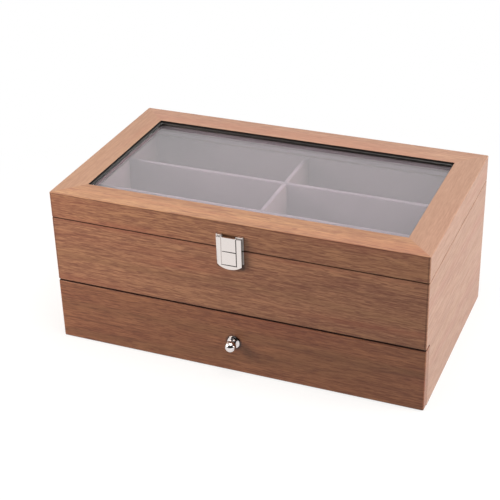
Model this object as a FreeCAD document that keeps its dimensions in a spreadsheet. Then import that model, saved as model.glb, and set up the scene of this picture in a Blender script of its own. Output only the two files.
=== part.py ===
import FreeCAD, Part
import math
import os
from types import SimpleNamespace

import Sketcher
from FreeCAD import Placement, Rotation, Vector

# An eyeglass display case of veneered boards, in millimetres. The origin is on the floor under the
# middle of the box, +X is to the right, +Y goes from the front to the back and +Z is up. A glazed lid
# hinges at the back over a tray of six lined compartments, a flap latch hangs over the lid's seam,
# and a drawer with six more compartments slides out under the tray.

SIZES = {
    # Box
    "width": 345.0,                 # left to right
    "depth": 200.0,                 # front to back, without the metalwork
    "height": 150.0,                # floor to the top of the lid
    "wall": 10.0,                   # thickness of the outer boards
    "corner_round": 1.5,            # upright outer corners
    "edge_round": 0.8,              # long outer edges
    "groove_depth": 3.0,            # grooves and rebates that hold the boards let into the walls
    "groove_gap": 0.1,              # play of a board in its groove
    "bottom_board": 4.0,            # thickness of the bottom board, flush with the walls' lower edges
    "shelf_lip": 2.0,               # front board's lower edge to the underside of the shelf
    "shelf_board": 5.0,             # thickness of the shelf
    # Lid
    "lid_height": 24.6,             # lower edge of the lid to its top
    "lid_gap": 0.3,                 # seam between the case and the lid
    "rail_width": 25.5,             # outer face of the lid to the window
    "flange": 4.5,                  # thickness of the rails over the glass
    "window_round": 0.4,            # upper edge of the window
    "glass": 3.0,                   # thickness of the pane
    "glass_lap": 7.0,               # pane hidden under the rails
    "bead_width": 1.4,              # glazing bead, from the window's edge inward
    "bead_drop": 2.0,               # top of the lid to the top of the bead
    "bead_round": 1.2,              # convex inner edge of the bead
    "bead_corner": 1.5,             # inner corners of the bead
    "retainer_height": 5.0,         # covered strips under the pane
    "retainer_setback": 1.5,        # window's edge to the strip's edge
    # Tray
    "lining": 2.0,                  # covered boards on the tray's walls
    "floor_lining": 1.5,            # padded sheet on a compartment's floor
    "lining_reveal": 0.3,           # linings and dividers end this far under the rim
    "divider": 4.0,                 # thickness of the covered dividers
    "divider_round": 1.2,           # upper edges of the dividers
    "divider_gap": 0.1,             # play of the dividers at their ends and in their slots
    # Drawer
    "drawer_front": 9.7,            # thickness of the drawer's front
    "drawer_front_height": 59.8,
    "drawer_front_lift": 0.6,       # floor to the lower edge of the front
    "drawer_edge_round": 1.2,       # front edges of the drawer's front
    "drawer_seam": 1.2,             # drawer's front to the board above it
    "drawer_seat_gap": 0.3,         # back of the front to the case's edges
    "drawer_side_gap": 0.8,         # play of the drawer at each side
    "drawer_run_gap": 0.3,          # play of the drawer over the bottom board
    "drawer_top_drop": 1.0,         # top of the front to the top of the sides
    "drawer_back_gap": 2.5,         # back of the drawer to the back board
    "drawer_board": 8.0,            # thickness of the drawer's sides and back
    "drawer_bottom": 3.0,           # thickness of the drawer's bottom
    "drawer_bottom_lift": 2.0,      # lower edge of the sides to the underside of the bottom
    "drawer_lining": 1.5,           # covered boards on the drawer's walls
    # Knob
    "knob_lift": 31.3,              # floor to the knob's axis
    "ball": 10.2,                   # diameter of the knob's ball
    "ball_reach": 7.5,              # face of the drawer to the ball's centre
    "neck": 5.0,                    # diameter of the knob's neck
    "rosette": 12.6,                # diameter of the knob's back plate
    "rosette_rim": 0.9,             # thickness of the back plate inside its bevelled rim
    "rosette_bevel": 0.6,           # bevel of the rim
    "rosette_slope": 0.7,           # rise from the rim to the foot of the raised middle
    "rosette_step": 8.8,            # diameter of the raised middle of the back plate
    "rosette_step_wall": 0.4,       # height of the raised middle's upright wall
    "rosette_crown": 6.2,           # diameter of the flat top of the back plate
    "rosette_height": 2.6,
    "knob_screw": 3.0,              # diameter
    "knob_screw_reach": 6.5,        # face of the drawer to the screw's end inside the knob
    "knob_screw_head": 5.6,         # diameter
    "knob_screw_head_height": 2.0,
    "knob_screw_slot": 0.8,         # width of the slot in its head
    "knob_screw_slot_depth": 1.0,
    "knob_recess": 7.0,             # diameter of the recess that sinks the screw's head
    "knob_recess_depth": 3.0,
    # Hinges
    "hinge_spread": 210.0,          # between the middles of the two hinges
    "hinge_length": 30.0,
    "hinge_leaf": 1.0,              # thickness
    "hinge_reach": 8.0,             # back face of the box to the leaf's hidden edge
    "hinge_barrel": 5.0,            # diameter
    "hinge_offset": 3.0,            # back face of the box to the pin's axis
    "hinge_pin": 2.0,               # diameter
    "hinge_knuckle": 10.0,          # length of the middle knuckle, on the lid's leaf
    "hinge_gap": 0.3,               # play between the leaves' knuckles
    "run_gap": 0.05,                # play of a knuckle round its pin
    "mortise_gap": 0.1,             # play of a leaf in its mortise
    "stop_tab": 1.2,                # thickness of the lid leaf's stop tab
    "stop_reach": 4.5,              # pin's axis to the tab's end and the bar's outer face
    "stop_drop": 1.3,               # pin's axis down to the stop bar
    "stop_bar": 1.2,                # thickness of the case leaf's stop bar
    "hinge_screw": 2.0,             # diameter
    "hinge_screw_head": 3.6,        # diameter
    "hinge_screw_length": 8.0,
    "hinge_screw_spread": 20.0,     # between the two screws of a leaf
    "hinge_screw_inset": 4.5,       # back face of the box to the screws
    # Latch
    "latch_width": 24.8,
    "latch_plate": 1.0,             # thickness of both plates
    "latch_plate_inset": 0.4,       # seam's edges to the plates
    "lid_plate_height": 12.8,
    "lid_plate_dip": 2.0,           # top of the cover to the lid plate's edge between its ears
    "case_plate_rise": 1.2,         # top of the cover's lip to the case plate's lower edge
    "plate_round": 0.8,             # lower corners of the case plate and upper ones of the lid plate
    "latch_pin": 0.8,               # diameter
    "latch_barrel": 1.6,            # diameter of the ears and knuckles round the pins
    "latch_barrel_gap": 0.2,        # lid plate's face to the knuckles
    "latch_ear_inset": 0.8,         # plate's ends to the ears' ends
    "latch_ear": 4.2,               # width of each ear
    "latch_knuckle": 1.2,           # width of each of the cover's knuckles
    "latch_knuckle_gap": 0.2,       # ears to knuckles
    "cover_width": 23.0,
    "cover_gap": 0.3,               # plates to the back of the cover
    "cover_top_drop": 1.4,          # top of the ears to the top of the cover's front
    "cover_hinge_gap": 0.3,         # ears to the top of the cover's sides
    "cover_wall": 0.8,              # thickness of the cover's front
    "cover_skirt": 0.8,             # thickness of the cover's sides
    "cover_round": 0.4,             # front edges of the cover
    "cover_drop": 14.5,             # lid's lower edge to the cover's lower corners
    "cover_bow": 4.2,               # lower corners to the lowest point of the curved edge
    "cover_lip": 4.3,               # height of the solid lower edge at its middle
    "catch_width": 8.0,
    "catch_height": 2.0,
    "catch_depth": 1.5,
    "catch_inset": 1.3,             # case plate's lower edge to the catch
    "catch_round": 0.6,             # front edges of the catch
    "catch_clearance": 0.5,         # catch to the parts of the cover that pass it
    "panel_width": 13.6,            # engraved panel of the cover
    "panel_drop": 1.5,              # lid's lower edge to the engraved line across the panel
    "engraving": 0.9,               # width of the engraved lines
    "engraving_depth": 0.5,
    "latch_screw": 1.6,             # diameter
    "latch_screw_head": 2.8,        # diameter
    "latch_screw_length": 7.0,
    "latch_screw_spread": 12.0,     # between the two screws of a plate
    "latch_screw_inset": 5.0,       # seam's edge of a plate to its screws
    # All countersunk screws
    "screw_point": 1.0,             # length of the tapered tip
    "screw_point_end": 0.4,         # diameter of the tip's blunt end
    "screw_slot": 0.4,              # width of the slot in the head
    "screw_slot_depth": 0.35,
    "screw_play": 0.05,             # play of a screw in its hole
}

BEYOND = 4.0        # a cut runs this far past what it cuts
NEAR = 0.01         # two places closer than this are one place
ROWS = 3            # rows of compartments, front to back
SIDES = {"left": -1, "right": 1}
UP = Vector(0, 0, 1)
DOWN = Vector(0, 0, -1)
RIGHT = Vector(1, 0, 0)
INWARD = Vector(0, 1, 0)
OUTWARD = Vector(0, -1, 0)


def value_of(item):
    return item.value if isinstance(item, Size) else item


def text_of(item):
    return item.text if isinstance(item, Size) else repr(item)


class Size:
    """A length with the expression that works it out from the sheet of driving dimensions."""

    def __init__(self, value, text):
        self.value = value
        self.text = text

    def __add__(self, other):
        return Size(self.value + value_of(other), f"({self.text} + {text_of(other)})")

    def __sub__(self, other):
        return Size(self.value - value_of(other), f"({self.text} - {text_of(other)})")

    def __mul__(self, other):
        return Size(self.value * value_of(other), f"({self.text} * {text_of(other)})")

    def __truediv__(self, other):
        return Size(self.value / value_of(other), f"({self.text} / {text_of(other)})")

    def __neg__(self):
        return Size(-self.value, f"(-1 * {self.text})")


doc = FreeCAD.newDocument("eyeglass_display_case")
sheet = doc.addObject("Spreadsheet::Sheet", "sizes")
for row, (alias, number) in enumerate(SIZES.items(), start=1):
    sheet.set(f"A{row}", alias)
    sheet.set(f"B{row}", str(number))
    sheet.setAlias(f"B{row}", alias)
doc.recompute()
sizes = SimpleNamespace(**{alias: Size(number, f"sizes.{alias}") for alias, number in SIZES.items()})
zero = Size(0.0, "0")
subparts = []


# Places that several pieces share
half_width = sizes.width / 2
half_depth = sizes.depth / 2
inner_half_width = half_width - sizes.wall
inner_half_depth = half_depth - sizes.wall
groove_half_width = inner_half_width + sizes.groove_depth
groove_half_depth = inner_half_depth + sizes.groove_depth
lid_bottom = sizes.height - sizes.lid_height
case_top = lid_bottom - sizes.lid_gap
drawer_front_top = sizes.drawer_front_lift + sizes.drawer_front_height
front_bottom = drawer_front_top + sizes.drawer_seam
shelf_low = front_bottom + sizes.shelf_lip
shelf_top = shelf_low + sizes.shelf_board
bay_front = half_depth - sizes.drawer_front - sizes.drawer_seat_gap
lining_top = case_top - sizes.lining_reveal
window_half_width = half_width - sizes.rail_width
window_half_depth = half_depth - sizes.rail_width
glass_top = sizes.height - sizes.flange
glass_low = glass_top - sizes.glass
hinge_y = half_depth + sizes.hinge_offset
hinge_z = case_top + sizes.lid_gap / 2
leaf_end = hinge_y - sizes.hinge_barrel / 2 - sizes.hinge_gap
plate_face = half_depth + sizes.latch_plate
cover_hollow = sizes.catch_depth + sizes.catch_clearance - sizes.cover_gap
cover_depth = cover_hollow + sizes.cover_wall
cover_back = plate_face + sizes.cover_gap
cover_front = cover_back + cover_depth
lid_plate_low = lid_bottom + sizes.latch_plate_inset
lid_plate_high = lid_plate_low + sizes.lid_plate_height
lid_screw_z = lid_plate_low + sizes.latch_screw_inset
latch_y = -plate_face - sizes.latch_barrel_gap - sizes.latch_barrel / 2
latch_z = lid_plate_high - sizes.latch_barrel / 2
ear_low = latch_z - sizes.latch_barrel / 2
ear_outer = sizes.latch_width / 2 - sizes.latch_ear_inset
ear_inner = ear_outer - sizes.latch_ear
knuckle_outer = ear_inner - sizes.latch_knuckle_gap
knuckle_inner = knuckle_outer - sizes.latch_knuckle
cover_top = lid_plate_high - sizes.cover_top_drop
cover_corner = lid_bottom - sizes.cover_drop
cover_lowest = cover_corner - sizes.cover_bow
lip_top = cover_lowest + sizes.cover_lip
case_plate_low = lip_top + sizes.case_plate_rise
case_plate_high = case_top - sizes.latch_plate_inset
case_screw_z = case_plate_high - sizes.latch_screw_inset
knob_hole = sizes.knob_screw + sizes.screw_play * 2
drawer_face = half_depth - sizes.drawer_front
drawer_half_width = inner_half_width - sizes.drawer_side_gap
drawer_inner = drawer_half_width - sizes.drawer_board
drawer_low = sizes.bottom_board + sizes.drawer_run_gap
drawer_high = drawer_front_top - sizes.drawer_top_drop
drawer_back = inner_half_depth - sizes.drawer_back_gap
drawer_back_inner = drawer_back - sizes.drawer_board
drawer_groove_low = drawer_low + sizes.drawer_bottom_lift
drawer_floor = drawer_groove_low + sizes.drawer_bottom
drawer_groove = (drawer_groove_low, drawer_floor + sizes.groove_gap)


def bind(item, prop, size):
    """Tie a property to the sheet."""
    item.setExpression(prop, size.text)


def place(item, x, y, z, rotation=Rotation()):
    item.Placement = Placement(Vector(), rotation)
    bind(item, "Placement.Base.x", x)
    bind(item, "Placement.Base.y", y)
    bind(item, "Placement.Base.z", z)


def subpart(item, label):
    """Name a finished piece, which is then exported under that name."""
    item.Label = label
    subparts.append(item)
    return item


def block(name, x, y, z):
    """A board between a low and a high place on each axis."""
    box = doc.addObject("Part::Box", name)
    bind(box, "Length", x[1] - x[0])
    bind(box, "Width", y[1] - y[0])
    bind(box, "Height", z[1] - z[0])
    place(box, x[0], y[0], z[0])
    return box


def rod(name, diameter, length, start, direction):
    """A round bar of that length from its start along a direction."""
    cylinder = doc.addObject("Part::Cylinder", name)
    bind(cylinder, "Radius", diameter / 2)
    bind(cylinder, "Height", length)
    place(cylinder, *start, Rotation(UP, direction))
    return cylinder


def joined(name, pieces):
    fuse = doc.addObject("Part::MultiFuse", name)
    fuse.Shapes = pieces
    fuse.Refine = True
    return fuse


def cut(name, base, tools):
    """A piece less the cutters, which are joined first when there are several."""
    result = doc.addObject("Part::Cut", name)
    result.Base = base
    result.Tool = tools[0] if len(tools) == 1 else joined(f"{name}_cutters", tools)
    result.Refine = True
    return result


def common(name, base, tool):
    result = doc.addObject("Part::Common", name)
    result.Base = base
    result.Tool = tool
    result.Refine = True
    return result


def group(name, pieces):
    """Identical pieces kept together as separate solids."""
    compound = doc.addObject("Part::Compound", name)
    compound.Links = pieces
    return compound


def new_body(name):
    return doc.addObject("PartDesign::Body", name)


def new_sketch(body, role, offset=zero):
    """A sketch on one of the body's own planes, moved along the plane's normal."""
    sketch = body.newObject("Sketcher::SketchObject", f"{body.Name}_sketch")
    plane = next(feature for feature in body.Origin.OriginFeatures if feature.Role == role)
    sketch.AttachmentSupport = (plane, [""])
    sketch.MapMode = "FlatFace"
    bind(sketch, "AttachmentOffset.Base.z", offset)
    return sketch


def hold(sketch, kind, geometry, point, size):
    """Keep a point at a distance from the sketch's origin."""
    number = sketch.addConstraint(Sketcher.Constraint(kind, -1, 1, geometry, point, size.value))
    bind(sketch, f"Constraints[{number}]", size)


def hold_radius(sketch, geometry, radius):
    number = sketch.addConstraint(Sketcher.Constraint("Radius", geometry, radius.value))
    bind(sketch, f"Constraints[{number}]", radius)


def polygon(sketch, corners):
    """A closed outline through corners, each of them held by its two distances."""
    first = sketch.GeometryCount
    count = len(corners)
    for index, (x, y) in enumerate(corners):
        next_x, next_y = corners[(index + 1) % count]
        start = Vector(x.value, y.value, 0)
        end = Vector(next_x.value, next_y.value, 0)
        sketch.addGeometry(Part.LineSegment(start, end), False)
    for index, (x, y) in enumerate(corners):
        after = first + (index + 1) % count
        sketch.addConstraint(Sketcher.Constraint("Coincident", first + index, 2, after, 1))
        hold(sketch, "DistanceX", first + index, 1, x)
        hold(sketch, "DistanceY", first + index, 1, y)
    return sketch


def rectangle(sketch, x, y):
    return polygon(sketch, [(x[0], y[0]), (x[1], y[0]), (x[1], y[1]), (x[0], y[1])])


def circle(sketch, x, y, diameter):
    outline = Part.Circle(Vector(x.value, y.value, 0), UP, diameter.value / 2)
    number = sketch.addGeometry(outline, False)
    hold_radius(sketch, number, diameter / 2)
    hold(sketch, "DistanceX", number, 3, x)
    hold(sketch, "DistanceY", number, 3, y)
    return sketch


def pad(body, sketch, length, both_ways=False):
    """Add material along the sketch's normal, or half the length each way."""
    feature = body.newObject("PartDesign::Pad", f"{body.Name}_pad")
    feature.Profile = sketch
    feature.SideType = "Symmetric" if both_ways else "One side"
    bind(feature, "Length", length)
    return feature


def pocket(body, sketch, length, along_normal=False, both_ways=False):
    """Cut against the sketch's normal, along it, or half the length each way."""
    doc.recompute()
    before = body.Shape.Volume
    feature = body.newObject("PartDesign::Pocket", f"{body.Name}_pocket")
    feature.Profile = sketch
    feature.Reversed = along_normal
    feature.SideType = "Symmetric" if both_ways else "One side"
    bind(feature, "Length", length)
    doc.recompute()
    if body.Shape.Volume > before - NEAR:
        raise RuntimeError(f"{feature.Name} cuts nothing")
    return feature


def edges_where(shape, test):
    """The names of the edges whose start, middle and end all pass a test."""
    names = []
    for number, edge in enumerate(shape.Edges, start=1):
        first, last = edge.ParameterRange
        places = [edge.valueAt(first + (last - first) * share) for share in (0.0, 0.5, 1.0)]
        if all(test(point) for point in places):
            names.append(f"Edge{number}")
    return names


def dress(body, kind, prop, size, test):
    """Round or bevel the edges that pass a test."""
    doc.recompute()
    base = body.Tip
    feature = body.newObject(kind, f"{body.Name}_{prop.lower()}")
    feature.Base = (base, edges_where(base.Shape, test))
    bind(feature, prop, size)
    doc.recompute()
    return feature


def soften(body, radius, test):
    return dress(body, "PartDesign::Fillet", "Radius", radius, test)


def bevel(body, size, test):
    return dress(body, "PartDesign::Chamfer", "Size", size, test)


def at(place_value, size):
    return abs(place_value - size.value) < NEAR


def on_circle(first, second, middle_first, middle_second, diameter):
    """True on a circle about a middle, given by two of the three distances."""
    away = math.hypot(first - middle_first.value, second - middle_second.value)
    return at(away, diameter / 2)


def on_outer_corner(point):
    return at(abs(point.x), half_width) and at(abs(point.y), half_depth)


def on_outer_face(point):
    """True on the box's outer faces and its rounded corners."""
    reach = sizes.corner_round.value + NEAR
    return abs(point.x) > half_width.value - reach or abs(point.y) > half_depth.value - reach


def inside_window(point):
    """True within the lid's window and on its edges."""
    return abs(point.x) < window_half_width.value + NEAR and abs(point.y) < window_half_depth.value + NEAR


def both(size):
    """The same distance each way from the middle."""
    return (-size, size)


def span(first, second):
    """Two places, the lower one first."""
    return (first, second) if first.value < second.value else (second, first)


# Lid frame and case walls, made whole and then parted on the mitres

def lid_frame():
    """The lid's four rails as one frame, hollow below and open at the window."""
    body = new_body("lid_frame")
    pad(body, rectangle(new_sketch(body, "XY_Plane", lid_bottom), both(half_width), both(half_depth)),
        sizes.lid_height)
    soften(body, sizes.corner_round, on_outer_corner)
    hollow = rectangle(new_sketch(body, "XY_Plane", glass_top), both(inner_half_width),
                       both(inner_half_depth))
    pocket(body, hollow, sizes.lid_height - sizes.flange)
    window = rectangle(new_sketch(body, "XY_Plane", sizes.height), both(window_half_width),
                       both(window_half_depth))
    pocket(body, window, sizes.flange)
    soften(body, sizes.edge_round, lambda point: at(point.z, sizes.height) and on_outer_face(point))
    soften(body, sizes.edge_round, lambda point: at(point.z, lid_bottom) and on_outer_face(point))
    soften(body, sizes.window_round, lambda point: at(point.z, sizes.height) and inside_window(point))
    return body


def case_frame():
    """The case's four walls as one frame, open at the front for the drawer."""
    body = new_body("case_frame")
    pad(body, rectangle(new_sketch(body, "XY_Plane"), both(half_width), both(half_depth)), case_top)
    soften(body, sizes.corner_round, on_outer_corner)
    hollow = rectangle(new_sketch(body, "XY_Plane", case_top), both(inner_half_width), both(inner_half_depth))
    pocket(body, hollow, case_top)
    opening = rectangle(new_sketch(body, "XZ_Plane", half_depth), both(half_width + BEYOND),
                        (zero - BEYOND, front_bottom))
    pocket(body, opening, half_depth - bay_front)
    for low, thickness in ((zero, sizes.bottom_board), (shelf_low, sizes.shelf_board)):
        groove_top = low + thickness + sizes.groove_gap
        groove = rectangle(new_sketch(body, "XY_Plane", groove_top), both(groove_half_width),
                           both(groove_half_depth))
        pocket(body, groove, thickness + sizes.groove_gap)
    soften(body, sizes.edge_round, lambda point: at(point.z, case_top) and on_outer_face(point))
    soften(body, sizes.edge_round, lambda point: at(point.z, front_bottom) and on_outer_face(point)
           and point.y < -bay_front.value + NEAR)
    return body


def mitre_wedges():
    """Four upright wedges that meet on the mitres and part a frame into its front, back and sides."""
    reach_x = half_width + BEYOND
    reach_y = half_depth + BEYOND
    ridge = half_width - half_depth
    outlines = {
        "front": [(-reach_x, -reach_y), (reach_x, -reach_y), (ridge, zero), (-ridge, zero)],
        "back": [(-reach_x, reach_y), (-ridge, zero), (ridge, zero), (reach_x, reach_y)],
        "left": [(-reach_x, reach_y), (-reach_x, -reach_y), (-ridge, zero)],
        "right": [(reach_x, -reach_y), (reach_x, reach_y), (ridge, zero)],
    }
    wedges = {}
    for side, corners in outlines.items():
        body = new_body(f"wedge_{side}")
        pad(body, polygon(new_sketch(body, "XY_Plane", zero - BEYOND), corners), sizes.height + 2 * BEYOND)
        wedges[side] = body
    return wedges


# Screws

def shifted(spot, direction, distance):
    """A place moved along a direction."""
    return tuple(size + share * distance for size, share in zip(spot, direction))


def cone(name, wide, narrow, height, base):
    """A round taper that stands on its wide end at a height."""
    taper = doc.addObject("Part::Cone", name)
    bind(taper, "Radius1", wide / 2)
    bind(taper, "Radius2", narrow / 2)
    bind(taper, "Height", height)
    place(taper, zero, zero, base)
    return taper


def screw(name, kind, spot, direction):
    """A countersunk screw with a straight slot, its head's face at a spot and its tip along a direction."""
    sink = (kind.head - kind.diameter) / 2
    point_start = kind.length - sizes.screw_point
    head = cone(f"{name}_head", kind.head, kind.diameter, sink, zero)
    shank = rod(f"{name}_shank", kind.diameter, point_start - sink, (zero, zero, sink), UP)
    tip = cone(f"{name}_tip", kind.diameter, sizes.screw_point_end, sizes.screw_point, point_start)
    slot = block(f"{name}_slot", both(kind.head), both(sizes.screw_slot / 2),
                 (zero - BEYOND, sizes.screw_slot_depth))
    result = cut(name, joined(f"{name}_blank", [head, shank, tip]), [slot])
    place(result, *spot, Rotation(UP, direction))
    return result


def pilot_hole(name, kind, spot, direction):
    """A cutter for a screw's hole in a board, from outside the board to just past the screw's tip."""
    start = shifted(spot, direction, -BEYOND)
    length = kind.length + sizes.screw_play + BEYOND
    return rod(name, kind.diameter + sizes.screw_play * 2, length, start, direction)


hinge_screw = SimpleNamespace(diameter=sizes.hinge_screw, head=sizes.hinge_screw_head,
                              length=sizes.hinge_screw_length)
latch_screw = SimpleNamespace(diameter=sizes.latch_screw, head=sizes.latch_screw_head,
                              length=sizes.latch_screw_length)


def hinge_screw_spots(level):
    """The four hinge screws at a height, left to right."""
    spots = []
    for hinge_side in SIDES.values():
        for screw_side in SIDES.values():
            x = sizes.hinge_spread / 2 * hinge_side + sizes.hinge_screw_spread / 2 * screw_side
            spots.append((x, half_depth - sizes.hinge_screw_inset, level))
    return spots


def latch_screw_spots(level):
    """The two screws of a latch plate at a height, with their heads in the plate's face."""
    return [(sizes.latch_screw_spread / 2 * side, -plate_face, level) for side in SIDES.values()]


def screw_set(label, kind, spots, direction):
    """The screws of one kind as a group, and the cutters for their holes."""
    screws = [screw(f"{label}_{index}", kind, spot, direction) for index, spot in enumerate(spots)]
    holes = [pilot_hole(f"{label}_hole_{index}", kind, spot, direction) for index, spot in enumerate(spots)]
    subpart(group(f"{label}_group", screws), label)
    return holes


# Boards of the case and rails of the lid

def mortises(name, z):
    """Cutters for the recesses that take the hinge leaves."""
    cutters = []
    reach = sizes.hinge_length / 2 + sizes.mortise_gap
    y = (half_depth - sizes.hinge_reach - sizes.mortise_gap, half_depth + BEYOND)
    for side, sign in SIDES.items():
        middle = sizes.hinge_spread / 2 * sign
        cutters.append(block(f"{name}_{side}", (middle - reach, middle + reach), y, z))
    return cutters


def parted(frame, wedges, labels, cutters):
    """Part a frame on its mitres, and cut each piece's own recesses and holes."""
    for side, wedge in wedges.items():
        label = labels[side]
        piece = common(f"{label}_mitred", frame, wedge)
        if side in cutters:
            piece = cut(f"{label}_cut", piece, cutters[side])
        subpart(piece, label)


def case_and_lid():
    """The case's boards and the lid's rails, with the screws that go into them."""
    wedges = mitre_wedges()
    case_hinge_holes = screw_set("hinge_case_screws", hinge_screw, hinge_screw_spots(case_top), DOWN)
    lid_hinge_holes = screw_set("hinge_lid_screws", hinge_screw, hinge_screw_spots(lid_bottom), UP)
    case_latch_holes = screw_set("latch_case_screws", latch_screw, latch_screw_spots(case_screw_z), INWARD)
    lid_latch_holes = screw_set("latch_lid_screws", latch_screw, latch_screw_spots(lid_screw_z), INWARD)
    case_mortises = mortises("case_mortise", (case_top - sizes.hinge_leaf, case_top + BEYOND))
    lid_mortises = mortises("lid_mortise", (lid_bottom - BEYOND, lid_bottom + sizes.hinge_leaf))
    parted(case_frame(), wedges, {"front": "case_front", "back": "case_back", "left": "case_side_left",
                                  "right": "case_side_right"},
           {"back": case_mortises + case_hinge_holes, "front": case_latch_holes})
    parted(lid_frame(), wedges, {side: f"lid_rail_{side}" for side in wedges},
           {"back": lid_mortises + lid_hinge_holes, "front": lid_latch_holes})


def bottom_and_shelf():
    """The bottom board in its rebate and the tray's floor in its groove."""
    reach_x = groove_half_width - sizes.groove_gap
    reach_y = groove_half_depth - sizes.groove_gap
    bottom = block("bottom", both(reach_x), (-bay_front, reach_y), (zero, sizes.bottom_board))
    subpart(bottom, "case_bottom")
    subpart(block("shelf", both(reach_x), both(reach_y), (shelf_low, shelf_top)), "case_shelf")


def lid_fittings():
    """The pane, the bead round the window and the covered strips under the pane."""
    reach_x = window_half_width + sizes.glass_lap
    reach_y = window_half_depth + sizes.glass_lap
    subpart(block("glass", both(reach_x), both(reach_y), (glass_low, glass_top)), "lid_glass")
    strip_low = glass_low - sizes.retainer_height
    edge_x = window_half_width + sizes.retainer_setback
    edge_y = window_half_depth + sizes.retainer_setback
    strips = {
        "front": (both(inner_half_width), (-inner_half_depth, -edge_y)),
        "back": (both(inner_half_width), (edge_y, inner_half_depth)),
        "left": ((-inner_half_width, -edge_x), both(edge_y)),
        "right": ((edge_x, inner_half_width), both(edge_y)),
    }
    for side, (x, y) in strips.items():
        subpart(block(f"retainer_{side}", x, y, (strip_low, glass_low)), f"glass_retainer_{side}")
    bead_half_width = window_half_width - sizes.bead_width
    bead_half_depth = window_half_depth - sizes.bead_width
    bead_top = sizes.height - sizes.bead_drop
    body = new_body("bead")
    outside = rectangle(new_sketch(body, "XY_Plane", glass_top), both(window_half_width),
                        both(window_half_depth))
    pad(body, outside, sizes.flange - sizes.bead_drop)
    inside = rectangle(new_sketch(body, "XY_Plane", bead_top), both(bead_half_width), both(bead_half_depth))
    pocket(body, inside, sizes.flange - sizes.bead_drop)
    soften(body, sizes.bead_corner, lambda point: at(abs(point.x), bead_half_width)
           and at(abs(point.y), bead_half_depth))
    soften(body, sizes.bead_round, lambda point: at(point.z, bead_top)
           and abs(point.x) < bead_half_width.value + NEAR and abs(point.y) < bead_half_depth.value + NEAR)
    subpart(body, "lid_bead")


# Linings and dividers

def long_divider(label, middle, reach, low, high):
    """A divider from side to side, notched from below over the cross divider."""
    body = new_body(label)
    notch = sizes.divider / 2 + sizes.divider_gap
    notch_top = (low + high) / 2 + sizes.divider_gap
    corners = [(-reach, low), (-notch, low), (-notch, notch_top), (notch, notch_top), (notch, low),
               (reach, low), (reach, high), (-reach, high)]
    pad(body, polygon(new_sketch(body, "XZ_Plane", -middle), corners), sizes.divider, both_ways=True)
    soften(body, sizes.divider_round, lambda point: at(point.z, high)
           and at(abs(point.y - middle.value), sizes.divider / 2))
    subpart(body, label)


def cross_divider(label, middles, front, back, low, high):
    """A divider from front to back, notched from above under each long divider."""
    body = new_body(label)
    notch = sizes.divider / 2 + sizes.divider_gap
    notch_low = (low + high) / 2 - sizes.divider_gap
    corners = [(front, low), (back, low), (back, high)]
    for middle in reversed(middles):
        corners += [(middle + notch, high), (middle + notch, notch_low), (middle - notch, notch_low),
                    (middle - notch, high)]
    corners.append((front, high))
    pad(body, polygon(new_sketch(body, "YZ_Plane"), corners), sizes.divider, both_ways=True)
    soften(body, sizes.divider_round, lambda point: at(point.z, high) and at(abs(point.x), sizes.divider / 2))
    subpart(body, label)


def compartments(name, half_wide, front, back, floor, top, lining):
    """Line a tray's walls and floor, and part it into two columns of rows."""
    inner = half_wide - lining
    inner_front = front + lining
    inner_back = back - lining
    walls = {
        "left": ((-half_wide, -inner), (front, back)),
        "right": ((inner, half_wide), (front, back)),
        "front": (both(inner), (front, inner_front)),
        "back": (both(inner), (inner_back, back)),
    }
    for side, (x, y) in walls.items():
        subpart(block(f"{name}_{side}", x, y, (floor, top)), f"{name}_lining_{side}")
    pad_top = floor + sizes.floor_lining
    cushion = block(f"{name}_floor", both(inner), (inner_front, inner_back), (floor, pad_top))
    subpart(cushion, f"{name}_lining_floor")
    row_depth = (inner_back - inner_front - sizes.divider * (ROWS - 1)) / ROWS
    first_middle = inner_front + row_depth + sizes.divider / 2
    middles = [first_middle + (row_depth + sizes.divider) * index for index in range(ROWS - 1)]
    for side, middle in zip(("front", "back"), middles):
        long_divider(f"{name}_divider_{side}", middle, inner - sizes.divider_gap, pad_top, top)
    cross_divider(f"{name}_divider_cross", middles, inner_front + sizes.divider_gap,
                  inner_back - sizes.divider_gap, pad_top, top)


# Hinges

def hinge_leaf(label, middle, low, face, knuckle_length):
    """A leaf's plate, knuckle and screw holes, countersunk in the face that meets the other leaf."""
    body = new_body(label)
    hidden_edge = half_depth - sizes.hinge_reach
    high = low + sizes.hinge_leaf
    pad(body, rectangle(new_sketch(body, "YZ_Plane"), (hidden_edge, leaf_end), (low, high)),
        sizes.hinge_length, both_ways=True)
    pad(body, rectangle(new_sketch(body, "YZ_Plane"), (hidden_edge, hinge_y), (low, high)),
        knuckle_length, both_ways=True)
    pad(body, circle(new_sketch(body, "YZ_Plane"), hinge_y, hinge_z, sizes.hinge_barrel),
        knuckle_length, both_ways=True)
    holes = new_sketch(body, "XY_Plane", high)
    hole_x = sizes.hinge_screw_spread / 2
    hole_y = half_depth - sizes.hinge_screw_inset
    hole = sizes.hinge_screw + sizes.screw_play * 2
    for side in SIDES.values():
        circle(holes, hole_x * side, hole_y, hole)
    pocket(body, holes, sizes.hinge_leaf)
    bevel(body, (sizes.hinge_screw_head - sizes.hinge_screw) / 2, lambda point: at(point.z, face)
          and on_circle(abs(point.x), point.y, hole_x, hole_y, hole))
    bind(body, "Placement.Base.x", middle)
    return body


def pin_bore(body):
    bore = circle(new_sketch(body, "YZ_Plane"), hinge_y, hinge_z, sizes.hinge_pin + sizes.run_gap * 2)
    pocket(body, bore, sizes.hinge_length + BEYOND, both_ways=True)


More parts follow.
